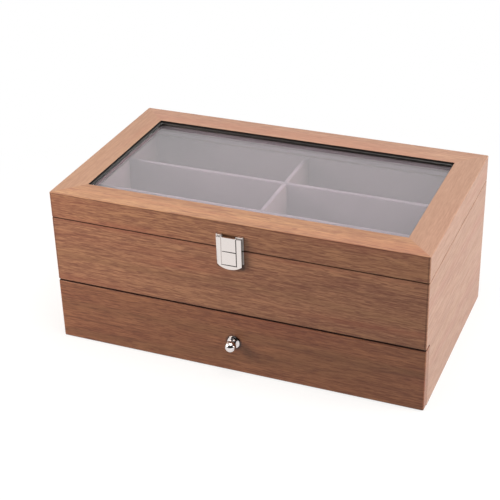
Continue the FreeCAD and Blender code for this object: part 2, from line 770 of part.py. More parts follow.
def hinges():
    """Two stop hinges: a tab on the lid's knuckle meets a bar on the case's leaf with the lid open."""
    knuckle_gap = sizes.hinge_barrel / 2 + sizes.hinge_gap
    pins = []
    for side, sign in SIDES.items():
        middle = sizes.hinge_spread / 2 * sign
        lid_leaf = hinge_leaf(f"hinge_lid_leaf_{side}", middle, lid_bottom, lid_bottom, sizes.hinge_knuckle)
        tab = rectangle(new_sketch(lid_leaf, "YZ_Plane"),
                        (hinge_y - sizes.stop_tab / 2, hinge_y + sizes.stop_tab / 2),
                        (hinge_z + sizes.hinge_barrel / 2 - sizes.stop_tab / 2, hinge_z + sizes.stop_reach))
        pad(lid_leaf, tab, sizes.hinge_knuckle, both_ways=True)
        pin_bore(lid_leaf)
        subpart(lid_leaf, f"hinge_lid_leaf_{side}")

        case_leaf = hinge_leaf(f"hinge_case_leaf_{side}", middle, case_top - sizes.hinge_leaf, case_top,
                               sizes.hinge_length)
        bar = rectangle(new_sketch(case_leaf, "YZ_Plane"),
                        (hinge_y + sizes.hinge_barrel / 2 - sizes.stop_bar, hinge_y + sizes.stop_reach),
                        (hinge_z - sizes.stop_drop - sizes.stop_bar, hinge_z - sizes.stop_drop))
        pad(case_leaf, bar, sizes.hinge_length, both_ways=True)
        room = rectangle(new_sketch(case_leaf, "YZ_Plane"), (leaf_end, hinge_y + knuckle_gap),
                         (hinge_z - knuckle_gap, hinge_z + knuckle_gap))
        pocket(case_leaf, room, sizes.hinge_knuckle + sizes.hinge_gap * 2, both_ways=True)
        pin_bore(case_leaf)
        subpart(case_leaf, f"hinge_case_leaf_{side}")

        start = (middle - sizes.hinge_length / 2, hinge_y, hinge_z)
        pins.append(rod(f"hinge_pin_{side}", sizes.hinge_pin, sizes.hinge_length, start, RIGHT))
    subpart(group("hinge_pin_group", pins), "hinge_pins")


# Latch

def latch_plate(label, low, high, screw_z):
    """A plate on the front, with two countersunk holes."""
    body = new_body(label)
    pad(body, rectangle(new_sketch(body, "XZ_Plane", half_depth), both(sizes.latch_width / 2), (low, high)),
        sizes.latch_plate)
    holes = new_sketch(body, "XZ_Plane", plate_face)
    hole_x = sizes.latch_screw_spread / 2
    hole = sizes.latch_screw + sizes.screw_play * 2
    for side in SIDES.values():
        circle(holes, hole_x * side, screw_z, hole)
    pocket(body, holes, sizes.latch_plate)
    bevel(body, (sizes.latch_screw_head - sizes.latch_screw) / 2, lambda point: at(point.y, -plate_face)
          and on_circle(abs(point.x), point.z, hole_x, screw_z, hole))
    return body


def latch_bore(body):
    bore = circle(new_sketch(body, "YZ_Plane"), latch_y, latch_z, sizes.latch_pin + sizes.run_gap * 2)
    pocket(body, bore, sizes.latch_width + BEYOND, both_ways=True)


def latch_on_lid():
    """The lid's plate, with an ear at each end of its upper edge and a short pin in each ear."""
    body = latch_plate("latch_lid_plate", lid_plate_low, lid_plate_high, lid_screw_z)
    soften(body, sizes.plate_round, lambda point: at(abs(point.x), sizes.latch_width / 2)
           and at(point.z, lid_plate_high))
    web = rectangle(new_sketch(body, "YZ_Plane"), (latch_y, -half_depth),
                    (ear_low, lid_plate_high))
    pad(body, web, ear_outer * 2, both_ways=True)
    pad(body, circle(new_sketch(body, "YZ_Plane"), latch_y, latch_z, sizes.latch_barrel),
        ear_outer * 2, both_ways=True)
    between = rectangle(new_sketch(body, "XZ_Plane", cover_front), both(ear_inner),
                        (cover_top - sizes.lid_plate_dip, lid_plate_high + BEYOND))
    pocket(body, between, cover_front - half_depth)
    latch_bore(body)
    subpart(body, "latch_lid_plate")
    pins = []
    for side, low_end in (("left", -ear_outer), ("right", knuckle_inner)):
        start = (low_end, latch_y, latch_z)
        pins.append(rod(f"latch_pin_{side}", sizes.latch_pin, ear_outer - knuckle_inner, start, RIGHT))
    subpart(group("latch_pin_group", pins), "latch_pins")


def latch_on_case():
    """The case's plate and the catch on it."""
    body = latch_plate("latch_case_plate", case_plate_low, case_plate_high, case_screw_z)
    soften(body, sizes.plate_round, lambda point: at(abs(point.x), sizes.latch_width / 2)
           and at(point.z, case_plate_low))
    subpart(body, "latch_case_plate")

    body = new_body("latch_catch")
    catch_low = case_plate_low + sizes.catch_inset
    catch_front = plate_face + sizes.catch_depth
    pad(body, rectangle(new_sketch(body, "XZ_Plane", plate_face), both(sizes.catch_width / 2),
                        (catch_low, catch_low + sizes.catch_height)), sizes.catch_depth)
    soften(body, sizes.catch_round, lambda point: at(point.y, -catch_front))
    subpart(body, "latch_catch")


def cover_outline(sketch):
    """Upright sides, a straight top and a lower edge that bows down."""
    half_wide = sizes.cover_width / 2
    radius = (half_wide * half_wide + sizes.cover_bow * sizes.cover_bow) / (sizes.cover_bow * 2)
    corners = [(half_wide, cover_corner), (half_wide, cover_top), (-half_wide, cover_top),
               (-half_wide, cover_corner)]
    spots = [Vector(x.value, z.value, 0) for x, z in corners]
    edges = [Part.LineSegment(start, end) for start, end in zip(spots, spots[1:])]
    edges.append(Part.Arc(spots[-1], Vector(0, cover_lowest.value, 0), spots[0]))
    for index, edge in enumerate(edges):
        sketch.addGeometry(edge, False)
        hold(sketch, "DistanceX", index, 1, corners[index][0])
        hold(sketch, "DistanceY", index, 1, corners[index][1])
    for index in range(len(edges)):
        sketch.addConstraint(Sketcher.Constraint("Coincident", index, 2, (index + 1) % len(edges), 1))
    hold_radius(sketch, len(edges) - 1, radius)
    return sketch


def latch_cover():
    """The flap: a hollow plate with a curved lower edge, an engraved panel and two knuckles."""
    body = new_body("latch_cover")
    pad(body, cover_outline(new_sketch(body, "XZ_Plane", cover_back)), cover_depth)
    soften(body, sizes.cover_round, lambda point: at(point.y, -cover_front))

    inside = sizes.cover_width / 2 - sizes.cover_skirt
    hollow = rectangle(new_sketch(body, "XZ_Plane", cover_back), both(inside), (lip_top, cover_top + BEYOND))
    pocket(body, hollow, cover_hollow, along_normal=True)
    relief = rectangle(new_sketch(body, "XZ_Plane", cover_back),
                       both(sizes.catch_width / 2 + sizes.catch_clearance),
                       (cover_lowest - BEYOND, lip_top + BEYOND))
    pocket(body, relief, cover_hollow, along_normal=True)
    under_ears = rectangle(new_sketch(body, "XZ_Plane", cover_back), both(sizes.latch_width / 2),
                           (ear_low - sizes.cover_hinge_gap, cover_top + BEYOND))
    pocket(body, under_ears, cover_hollow, along_normal=True)

    web = rectangle(new_sketch(body, "YZ_Plane"), (-cover_front, latch_y),
                    (cover_top - sizes.cover_wall, latch_z))
    pad(body, web, knuckle_outer * 2, both_ways=True)
    pad(body, circle(new_sketch(body, "YZ_Plane"), latch_y, latch_z, sizes.latch_barrel),
        knuckle_outer * 2, both_ways=True)
    between = rectangle(new_sketch(body, "XZ_Plane", cover_front + BEYOND), both(knuckle_inner),
                        (cover_top, lid_plate_high + BEYOND))
    pocket(body, between, cover_depth + BEYOND * 2)
    latch_bore(body)

    half_panel = sizes.panel_width / 2
    half_line = sizes.engraving / 2
    upright = new_sketch(body, "XZ_Plane", cover_front)
    for side in SIDES.values():
        middle = half_panel * side
        rectangle(upright, (middle - half_line, middle + half_line), (lip_top - half_line, cover_top))
    pocket(body, upright, sizes.engraving_depth)
    level = new_sketch(body, "XZ_Plane", cover_front)
    for height in (lip_top, lid_bottom - sizes.panel_drop):
        rectangle(level, both(half_panel), (height - half_line, height + half_line))
    pocket(body, level, sizes.engraving_depth)
    subpart(body, "latch_cover")


# Drawer

def drawer_front_board():
    """The drawer's face, with the knob's hole, a recess for its screw and a groove for the bottom."""
    body = new_body("drawer_front")
    pad(body, rectangle(new_sketch(body, "XZ_Plane", drawer_face), both(half_width),
                        (sizes.drawer_front_lift, drawer_front_top)), sizes.drawer_front)
    soften(body, sizes.corner_round, lambda point: at(abs(point.x), half_width) and at(point.y, -half_depth))
    soften(body, sizes.drawer_edge_round, lambda point: on_outer_face(point)
           and (at(point.z, sizes.drawer_front_lift) or at(point.z, drawer_front_top)))
    hole = circle(new_sketch(body, "XZ_Plane", half_depth), zero, sizes.knob_lift, knob_hole)
    pocket(body, hole, sizes.drawer_front)
    recess = circle(new_sketch(body, "XZ_Plane", drawer_face), zero, sizes.knob_lift, sizes.knob_recess)
    pocket(body, recess, sizes.knob_recess_depth, along_normal=True)
    groove = rectangle(new_sketch(body, "XZ_Plane", drawer_face), both(drawer_inner + sizes.groove_depth),
                       drawer_groove)
    pocket(body, groove, sizes.groove_depth, along_normal=True)
    subpart(body, "drawer_front")


def drawer_box():
    """The drawer's sides, back and bottom. The bottom lies in grooves all round."""
    upright = (drawer_low, drawer_high)
    groove_end = drawer_back_inner + sizes.groove_depth
    for side, sign in SIDES.items():
        x = span(drawer_inner * sign, drawer_half_width * sign)
        groove_x = span((drawer_inner - BEYOND) * sign, (drawer_inner + sizes.groove_depth) * sign)
        board = block(f"drawer_board_{side}", x, (-drawer_face, drawer_back), upright)
        groove_y = (-drawer_face - BEYOND, groove_end)
        cutter = block(f"drawer_groove_{side}", groove_x, groove_y, drawer_groove)
        subpart(cut(f"drawer_grooved_{side}", board, [cutter]), f"drawer_side_{side}")
    board = block("drawer_board_back", both(drawer_inner), (drawer_back_inner, drawer_back), upright)
    groove_y = (drawer_back_inner - BEYOND, groove_end)
    cutter = block("drawer_groove_back", both(drawer_inner + BEYOND), groove_y, drawer_groove)
    subpart(cut("drawer_grooved_back", board, [cutter]), "drawer_back")
    reach = sizes.groove_depth - sizes.groove_gap
    bottom = block("drawer_bottom_board", both(drawer_inner + reach),
                   (-drawer_face - reach, drawer_back_inner + reach), (drawer_groove[0], drawer_floor))
    subpart(bottom, "drawer_bottom")


def knob_ball():
    """The knob: a ball on a neck, with a blind hole for its screw."""
    ball = doc.addObject("Part::Sphere", "knob_ball")
    bind(ball, "Radius", sizes.ball / 2)
    place(ball, zero, -half_depth - sizes.ball_reach, sizes.knob_lift)
    neck = rod("knob_neck", sizes.neck, sizes.ball_reach - sizes.rosette_height,
               (zero, -half_depth - sizes.rosette_height, sizes.knob_lift), OUTWARD)
    tapped = rod("knob_thread", knob_hole, sizes.knob_screw_reach + sizes.screw_play,
                 (zero, -half_depth, sizes.knob_lift), OUTWARD)
    subpart(cut("knob_drilled", joined("knob_blank", [ball, neck]), [tapped]), "knob")


def knob_rosette():
    """The knob's turned back plate, bevelled at its rim and stepped up to a flat crown."""
    body = new_body("rosette")
    profile = new_sketch(body, "YZ_Plane")
    bore = knob_hole / 2
    rim = sizes.rosette / 2
    step = sizes.rosette_step / 2
    step_foot = sizes.rosette_rim + sizes.rosette_slope
    polygon(profile, [(zero, bore), (zero, rim), (sizes.rosette_bevel - sizes.rosette_rim, rim),
                      (-sizes.rosette_rim, rim - sizes.rosette_bevel), (-step_foot, step),
                      (-step_foot - sizes.rosette_step_wall, step),
                      (-sizes.rosette_height, sizes.rosette_crown / 2), (-sizes.rosette_height, bore)])
    turned = body.newObject("PartDesign::Revolution", "rosette_turned")
    turned.Profile = profile
    turned.ReferenceAxis = (profile, ["H_Axis"])
    turned.Angle = 360
    place(body, zero, -half_depth, sizes.knob_lift)
    subpart(body, "knob_rosette")


def knob_screw():
    """The screw that holds the knob, its slotted head sunk in the back of the drawer's front."""
    under_head = drawer_face + sizes.knob_recess_depth
    spot = (zero, -under_head, sizes.knob_lift)
    shank = rod("knob_screw_shank", sizes.knob_screw, half_depth + sizes.knob_screw_reach - under_head, spot,
                OUTWARD)
    head = rod("knob_screw_head", sizes.knob_screw_head, sizes.knob_screw_head_height, spot, INWARD)
    head_top = sizes.knob_screw_head_height - under_head
    half_slot = sizes.knob_screw_slot / 2
    slot = block("knob_screw_slot", both(sizes.knob_screw_head),
                 (head_top - sizes.knob_screw_slot_depth, head_top + BEYOND),
                 (sizes.knob_lift - half_slot, sizes.knob_lift + half_slot))
    subpart(cut("knob_screw_slotted", joined("knob_screw_blank", [shank, head]), [slot]), "knob_screw")


case_and_lid()
bottom_and_shelf()
lid_fittings()
compartments("tray", inner_half_width, -inner_half_depth, inner_half_depth, shelf_top, lining_top,
             sizes.lining)
hinges()
latch_on_lid()
latch_on_case()
latch_cover()
drawer_front_board()
drawer_box()
compartments("drawer", drawer_inner, -drawer_face, drawer_back_inner, drawer_floor,
             drawer_high - sizes.lining_reveal, sizes.drawer_lining)
knob_ball()
knob_rosette()
knob_screw()

doc.recompute()
for item in doc.Objects:
    if "Invalid" in item.State or "Error" in item.State:
        raise RuntimeError(f"{item.Label} did not recompute")
for item in subparts:
    if item.Shape.isNull() or not item.Shape.isValid():
        raise RuntimeError(f"{item.Label} has no valid shape")

os.makedirs("parts", exist_ok=True)
for item in subparts:
    item.Shape.exportStep(f"parts/{item.Label}.step")
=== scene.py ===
import math

import bmesh
import bpy
from mathutils import Matrix, Vector


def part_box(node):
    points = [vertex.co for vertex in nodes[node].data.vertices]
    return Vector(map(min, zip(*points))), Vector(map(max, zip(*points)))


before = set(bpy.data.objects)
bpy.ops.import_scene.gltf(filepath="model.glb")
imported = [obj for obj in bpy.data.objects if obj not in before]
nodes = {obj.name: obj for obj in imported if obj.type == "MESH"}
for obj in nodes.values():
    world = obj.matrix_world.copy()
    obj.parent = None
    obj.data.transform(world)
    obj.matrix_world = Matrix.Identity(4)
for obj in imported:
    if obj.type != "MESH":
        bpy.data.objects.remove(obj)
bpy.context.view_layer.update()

# The looks of an eyeglass display case: walnut veneered boards, a glazed lid with a black bead, velvet
# covered trays and drawer, a chromed flap latch and knob, and brass plated hinges. Metres, +Z up, the
# front of the case towards -Y.

MM = 0.001
SOFT = {"interpolation_type": "SMOOTHSTEP"}     # a range whose two ends are soft

# Camera, as the photograph was taken
LOOK_AT = Vector((-0.01254, -0.02806, 0.08363))
DISTANCE = 1.150
AZIMUTH = math.radians(22.983)      # from straight ahead, towards the right of the case
ELEVATION = math.radians(29.302)
ROLL = math.radians(-1.628)
FOCAL_LENGTH = 91.30
SENSOR_WIDTH = 36.0                 # both in millimetres


def linear(shade):
    """An sRGB hex colour as the linear red, green, blue and alpha that shaders take."""
    parts = [int(shade[start:start + 2], 16) / 255 for start in (1, 3, 5)]
    return [part / 12.92 if part <= 0.04045 else ((part + 0.055) / 1.055) ** 2.4 for part in parts] + [1.0]


def per_metre(millimetres):
    """The scale of a pattern whose features are this wide."""
    return 1000 / millimetres


def add(tree, kind, *inputs, output=0, **settings):
    """Adds one node and gives back one of its outputs, or the node itself where output is None. Its
    inputs, values or links, stand in the order of its sockets or in one dictionary by name or number."""
    made = tree.nodes.new("ShaderNode" + kind)
    for setting, choice in settings.items():
        setattr(made, setting, choice)
    by_socket = inputs[0] if inputs and isinstance(inputs[0], dict) else dict(enumerate(inputs))
    for socket, source in by_socket.items():
        if isinstance(source, bpy.types.NodeSocket):
            tree.links.new(source, made.inputs[socket])
        else:
            made.inputs[socket].default_value = source
    return made if output is None else made.outputs[output]


def new_material(name):
    """An empty material, its tree, and the place on the object in metres."""
    material = bpy.data.materials.new(name)
    material.use_nodes = True
    tree = material.node_tree
    tree.nodes.clear()
    return material, tree, add(tree, "TexCoord", output="Object")


def facing_of(tree):
    """The way a surface faces on the piece itself, as X, Y and Z."""
    return add(tree, "SeparateXYZ", add(tree, "TexCoord", output="Normal"), output=None).outputs


def painted(tree, colour, *layers):
    """A colour with hex colours laid over it in turn, each by its share from 0 to 1."""
    for share, over in layers:
        colour = add(tree, "Mix", {0: share, 6: colour, 7: linear(over)}, output=2, data_type="RGBA")
    return colour


def product(tree, first, *others):
    """All the numbers multiplied."""
    for other in others:
        first = add(tree, "Math", first, other, operation="MULTIPLY")
    return first


def greatest(tree, first, *others):
    """The greatest of the numbers."""
    for other in others:
        first = add(tree, "Math", first, other, operation="MAXIMUM")
    return first


def apart(tree, number, middle=0.0):
    """How far a number is from a middle, to either side."""
    return add(tree, "Math", add(tree, "Math", number, middle, operation="SUBTRACT"), operation="ABSOLUTE")


def within(tree, number, reach):
    """1 where a number lies less than reach from 0, to either side, and 0 beyond."""
    return add(tree, "Math", apart(tree, number), reach, operation="LESS_THAN")


def near(tree, number, middle, reach, strength=1.0):
    """The strength where a number lies within reach of a middle, fading out to 0 beyond."""
    return add(tree, "MapRange", apart(tree, number, middle), reach * 0.6, reach * 1.2, strength, 0.0, **SOFT)


def from_middle(tree, along, across):
    """The distance from a middle, by its two parts."""
    squares = add(tree, "Math", along, along, product(tree, across, across), operation="MULTIPLY_ADD")
    return add(tree, "Math", squares, operation="SQRT")


# Boards

GRAIN_STRETCH = 16.0                # walnut's streaks are this many times longer than they are wide
PORE_LENGTH = 1.5                   # pores are this much shorter than streaks of the same width
BOARD_TILT = math.radians(0.8)      # the veneer leaf lies a little off the board's edges
TOP_FIGURE = 0.75                   # how bold the figure is on the lid's top against the upright faces
MOST_RED = 0.60                     # how far the wood goes over to its other browns at most
MOST_OLIVE = 0.38
MOST_PORE = 0.60
TURNED = (0.5, 0.8)                 # a face starts to count as turned a way, and counts in full
SLIVER = 0.1 * MM                   # so far past a face, a mask still takes it in
WINDOW = [(high - low) / 2 + SLIVER for low, high in zip(*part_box("lid_bead"))][:2]
WINDOW_BLACK = "#17110F"            # the window's edge is stained black down to the bead
LID_HOLLOW = [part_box("tray_lining_right")[1][0] + SLIVER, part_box("tray_lining_back")[1][1] + SLIVER]
UNDER_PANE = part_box("lid_glass")[1][2] - 0.5 * MM

CUT_EDGE_AND_SHADE = "#34140A"                # veneer's cut edge, browned by its glue and stain, and the painted shade round the latch and the knob
LID_SEAM = (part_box("lid_rail_front")[0][2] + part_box("case_front")[1][2]) / 2
LID_SEAM_REACH = 0.75 * MM
DRAWER_SEAM = (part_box("case_front")[0][2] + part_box("drawer_front")[1][2]) / 2
DRAWER_SEAM_REACH = 1.15 * MM
TOP_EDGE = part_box("lid_rail_front")[1][2] - 0.9 * MM
TOP_EDGE_REACH = 0.5 * MM
FRONT_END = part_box("case_front")[1][0] - 1.0 * MM
FRONT_END_REACH = 0.6 * MM

LATCH_LOW, LATCH_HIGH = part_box("latch_cover")
LATCH_MIDDLE = (LATCH_LOW[2] + LATCH_HIGH[2]) / 2
LATCH_HALF = (LATCH_HIGH[0], (LATCH_HIGH[2] - LATCH_LOW[2]) / 2 - 1.0 * MM)
KNOB_LOW, KNOB_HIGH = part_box("knob_rosette")
KNOB_AXIS = (KNOB_LOW[2] + KNOB_HIGH[2]) / 2
KNOB_RADIUS = (KNOB_HIGH[0] - KNOB_LOW[0]) / 2
SHADE_REACH = 2.6 * MM              # of the painted shade round the latch and the knob
SHADE_DEPTH = 0.75

VELVET_DARK = "#746973"
VELVET_LIGHT = "#7B7079"
# painted warm light, on the linings turned to the sides
VELVET_WARM_LIT = "#77666A"
TOP_FACE_SHADE = 0.72                  # painted shade: how dark the pile is on the faces that look straight up


def shade_of_fittings(tree, x, z):
    """Painted shade that darkens the wood close round the latch and the knob, from 0 to 1."""
    beyond = []
    for away, half in zip((apart(tree, x), apart(tree, z, LATCH_MIDDLE)), LATCH_HALF):
        beyond.append(greatest(tree, add(tree, "Math", away, half, operation="SUBTRACT"), 0.0))
    from_latch = from_middle(tree, *beyond)
    from_axis = from_middle(tree, x, apart(tree, z, KNOB_AXIS))
    from_knob = add(tree, "Math", from_axis, KNOB_RADIUS, operation="SUBTRACT")
    nearer = add(tree, "Math", from_latch, from_knob, operation="MINIMUM")
    return add(tree, "MapRange", nearer, 0.0, SHADE_REACH, SHADE_DEPTH, 0.0, **SOFT)


def cut_edges(tree, x, z, facing, upright, to_front):
    """Where the veneer shows its dark cut edge, from 0 to 1: at the seams, and finely along the front's
    top and ends. The sides and the back have their own real seams and need no line."""
    top_line = near(tree, z, TOP_EDGE, TOP_EDGE_REACH, strength=0.45)
    end_line = near(tree, apart(tree, x), FRONT_END, FRONT_END_REACH, strength=0.4)
    over_drawer = add(tree, "Math", z, DRAWER_SEAM, operation="GREATER_THAN")
    end_line = product(tree, end_line, over_drawer)
    fine_lines = product(tree, greatest(tree, top_line, end_line), upright, to_front)
    lid_line = near(tree, z, LID_SEAM, LID_SEAM_REACH, strength=0.85)
    drawer_line = near(tree, z, DRAWER_SEAM, DRAWER_SEAM_REACH)
    turned_away = greatest(tree, apart(tree, facing[0]), facing[1])
    from_front = add(tree, "MapRange", turned_away, *TURNED, 1.0, 0.0, **SOFT)
    seams = product(tree, greatest(tree, lid_line, drawer_line), from_front)
    return greatest(tree, fine_lines, seams)


def lined_hollow(tree, x, y, z):
    """1 on the lid's inner walls, which are lined with velvet below the pane, and 0 elsewhere."""
    inside = product(tree, within(tree, x, LID_HOLLOW[0]), within(tree, y, LID_HOLLOW[1]))
    under_pane = add(tree, "Math", z, UNDER_PANE, operation="LESS_THAN")
    over_seam = add(tree, "Math", z, LID_SEAM, operation="GREATER_THAN")
    return product(tree, inside, under_pane, over_seam)


def walnut_veneer(name, along, leaf, light, dark, red, olive, figure, upright_tint="#FFFFFF"):
    """American walnut, flat-cut veneer under a sprayed satin lacquer. The eye sees short dark fibre
    streaks along the board, broad bands of reddish and olive brown, fine open pores and a soft sheen.
    Real fibres and pores are too fine to show, so they are drawn about 1 mm wide."""
    material, tree, place = new_material(name)
    stretch = [1.0, 1.0, 1.0]
    stretch["XYZ".index(along)] = 1 / GRAIN_STRETCH
    lie = {"Vector": place, "Location": leaf, "Rotation": [BOARD_TILT] * 3, "Scale": stretch}
    grain = add(tree, "Mapping", lie)
    shortened = [1 if side == 1 else PORE_LENGTH for side in stretch]
    short = add(tree, "Mapping", {"Vector": grain, "Scale": shortened})
    bands = add(tree, "TexNoise", {"Vector": grain, "Scale": per_metre(14), "Distortion": 0.4})
    hue = add(tree, "TexNoise", {"Vector": grain, "Scale": per_metre(22), "Detail": 1, "Distortion": 0.6})
    streaks = add(tree, "TexNoise", {"Vector": grain, "Scale": per_metre(1.8), "Roughness": 0.6,
                                     "Distortion": 0.3})
    fibres = add(tree, "TexNoise", {"Vector": short, "Scale": per_metre(1.1), "Roughness": 0.7})
    pore_cells = add(tree, "TexNoise", {"Vector": short, "Scale": per_metre(1.0), "Detail": 1})

    x, y, z = add(tree, "SeparateXYZ", place, output=None).outputs
    facing = facing_of(tree)
    upright = add(tree, "MapRange", facing[2], *TURNED, 1.0, 0.0, **SOFT)
    to_front = add(tree, "MapRange", facing[1], -TURNED[1], -TURNED[0], 1.0, 0.0, **SOFT)
    boldness = add(tree, "MapRange", facing[2], *TURNED, figure, figure * TOP_FIGURE, **SOFT)

    # Each pattern, the range of it that shows, and what it adds to the light and dark of the wood
    share = 0.0
    for pattern, low, high, part in (
        (streaks, 0.34, 0.66, 0.36),
        (fibres, 0.38, 0.62, 0.38),
        (bands, 0.32, 0.68, 0.26),
    ):
        added = add(tree, "MapRange", pattern, low, high, 0.0, part, **SOFT)
        share = add(tree, "Math", share, added, operation="ADD")
    contrast = add(tree, "Math", share, 0.5, operation="SUBTRACT")
    share = add(tree, "Math", contrast, boldness, 0.5, operation="MULTIPLY_ADD")
    reddish = product(tree, add(tree, "MapRange", hue, 0.48, 0.72, 0.0, MOST_RED, **SOFT), boldness)
    greenish = product(tree, add(tree, "MapRange", hue, 0.30, 0.50, MOST_OLIVE, 0.0, **SOFT), boldness)
    pores = product(tree, add(tree, "MapRange", pore_cells, 0.57, 0.68, 0.0, MOST_PORE, **SOFT), boldness)
    # painted shade round the latch and the knob, on the front faces only
    painted_shade = product(tree, shade_of_fittings(tree, x, z), to_front)
    lines = cut_edges(tree, x, z, facing, upright, to_front)
    lined = lined_hollow(tree, x, y, z)
    in_window = product(tree, within(tree, x, WINDOW[0]), within(tree, y, WINDOW[1]))

    colour = painted(tree, linear(dark), (share, light), (reddish, red), (greenish, olive), (pores, dark))
    tint = {0: upright, 6: colour, 7: linear(upright_tint)}
    colour = add(tree, "Mix", tint, output=2, data_type="RGBA", blend_type="MULTIPLY")
    # the first layer over the wood is the painted shade round the latch and the knob
    colour = painted(tree, colour, (painted_shade, CUT_EDGE_AND_SHADE), (lines, CUT_EDGE_AND_SHADE), (lined, VELVET_DARK),
                     (in_window, WINDOW_BLACK))
    lacquer = add(tree, "MapRange", streaks, 0.2, 0.8, 0.44, 0.34, **SOFT)
    relief = add(tree, "Math", pores, -0.6, fibres, operation="MULTIPLY_ADD")
    relief = product(tree, relief, add(tree, "Math", 1.0, in_window, operation="SUBTRACT"))
    surface = add(tree, "BsdfPrincipled", {
        "Base Color": colour,
        "Roughness": greatest(tree, lacquer, lines, in_window),
        "IOR": 1.5,
        "Specular IOR Level": 0.42,
        "Normal": add(tree, "Bump", {"Height": relief, "Strength": 0.35, "Distance": 0.06 * MM}),
    })
    add(tree, "OutputMaterial", surface, output=None)
    return material


def plain_board():
    """Pressed board with a paper-thin brown face, where it is seldom seen: a flat, dull brown with a
    faint printed grain."""
    material, tree, place = new_material("paper_faced_board")
    grain = add(tree, "Mapping", {"Vector": place, "Scale": (1 / GRAIN_STRETCH, 1, 1)})
    streaks = add(tree, "TexNoise", {"Vector": grain, "Scale": per_metre(3), "Detail": 5, "Roughness": 0.6})
    light = add(tree, "MapRange", streaks, 0.3, 0.7, **SOFT)
    surface = add(tree, "BsdfPrincipled", {
        "Base Color": painted(tree, linear("#A98B72"), (light, "#BC9E84")),
        "Roughness": 0.62,
        "Normal": add(tree, "Bump", {"Height": streaks, "Strength": 0.2, "Distance": 0.03 * MM}),
    })
    add(tree, "OutputMaterial", surface, output=None)
    return material


# Veneer leaves: the boards that one leaf runs across, the way of its grain, its place in the log, its
# light, dark, reddish and olive browns, how bold its figure is, and what tints its upright faces
LEAVES = {
    "walnut_front": (["case_front"], "X", (0.3, 0.1, 0.7),
                     "#C28E6B", "#825240", "#A8664E", "#9C7252", 1.2),
    "walnut_drawer": (["drawer_front"], "X", (1.3, 0.4, 0.2),
                      "#AE7654", "#70402F", "#96523F", "#8C6444", 1.1),
    "walnut_lid_front": (["lid_rail_front"], "X", (0.3, 0.1, 0.7),
                         "#C4966D", "#845542", "#B07056", "#A67656", 1.2, "#FCF3F7"),
    "walnut_lid_back": (["lid_rail_back"], "X", (1.9, 1.4, 1.8),
                        "#C3977C", "#966C58", "#B27C66", "#B08C70", 1.2),
    "walnut_right": (["case_side_right", "lid_rail_right"], "Y", (0.9, 2.1, 0.5),
                     "#BF967D", "#966C58", "#B07C68", "#AC8970", 0.7),
    "walnut_left": (["case_side_left", "lid_rail_left"], "Y", (2.2, 0.8, 1.1),
                    "#BC9275", "#966D57", "#B07A64", "#A88768", 0.7),
    "walnut_back": (["case_back"], "X", (1.9, 1.4, 1.8),
                    "#B98B69", "#8A5D48", "#AC755B", "#A07858", 1.0),
}
PAPER_FACED = ["case_bottom", "case_shelf", "drawer_side_left", "drawer_side_right", "drawer_back",
               "drawer_bottom"]


def give(piece, material):
    """One material all over a piece."""
    piece.data.materials.clear()
    piece.data.materials.append(material)


def finish_boards():
    """Every veneered board gets its leaf, and the plain boards their paper face."""
    for name, (boards, *looks) in LEAVES.items():
        veneer = walnut_veneer(name, *looks)
        for board in boards:
            give(nodes[board], veneer)
    paper_faced = plain_board()
    for board in PAPER_FACED:
        give(nodes[board], paper_faced)


# Linings

def velvet():
    """Short-pile polyester velvet on card: no shine head on, a pale bloom at a grazing look, and soft
    patches where the pile leans another way. Faces that look up are darkened with painted shade, and
    those turned to the sides are tinted with painted warm light. Its tufts are too fine to show, so
    they are drawn 0.6 mm wide."""
    material, tree, place = new_material("lavender_grey_velvet")
    nap = add(tree, "TexNoise", {"Vector": place, "Scale": per_metre(28)})
    pile = add(tree, "TexNoise", {"Vector": place, "Scale": per_metre(0.6), "Roughness": 0.7})
    facing = facing_of(tree)
    leaning = add(tree, "MapRange", nap, 0.3, 0.7, **SOFT)
    # painted warm light on the faces turned to the sides
    warm_lit_sides = add(tree, "MapRange", apart(tree, facing[0]), *TURNED, **SOFT)
    colour = painted(tree, linear(VELVET_DARK), (leaning, VELVET_LIGHT), (warm_lit_sides, VELVET_WARM_LIT))
    tufts = add(tree, "MapRange", pile, 0.3, 0.7, 0.92, 1.06, **SOFT)
    # painted shade on the faces that look up
    depth = add(tree, "MapRange", facing[2], 0.3, 0.9, 1.0, TOP_FACE_SHADE, **SOFT)
    shaded = {0: colour, "Scale": product(tree, tufts, depth)}
    surface = add(tree, "BsdfPrincipled", {
        "Base Color": add(tree, "VectorMath", shaded, operation="SCALE"),
        "Roughness": 0.95,
        "Specular IOR Level": 0.1,
        "Sheen Weight": 0.18,
        "Sheen Roughness": 0.5,
        "Sheen Tint": linear("#E4DADC"),
        "Normal": add(tree, "Bump", {"Height": pile, "Strength": 0.5, "Distance": 0.15 * MM}),
    })
    add(tree, "OutputMaterial", surface, output=None)
    return material


def line_with_velvet():
    """Linings, floors, dividers and the strips under the pane."""
    cloth = velvet()
    for node in nodes:
        if "lining" in node or "divider" in node or "retainer" in node:
            give(nodes[node], cloth)


# Fittings

def black_bead():
    """Extruded black PVC with a gloss skin: a deep black that mirrors a thin bright line along it."""
    material, tree, place = new_material("gloss_black_pvc")
    dust = add(tree, "TexNoise", {"Vector": place, "Scale": per_metre(6)})
    dusty = add(tree, "MapRange", dust, 0.5, 0.8, **SOFT)
    surface = add(tree, "BsdfPrincipled", {
        "Base Color": painted(tree, linear("#151110"), (dusty, "#1B1615")),
        "Roughness": add(tree, "MapRange", dust, 0.3, 0.8, 0.28, 0.34, **SOFT),
        "IOR": 1.53,
    })
    add(tree, "OutputMaterial", surface, output=None)
    return material


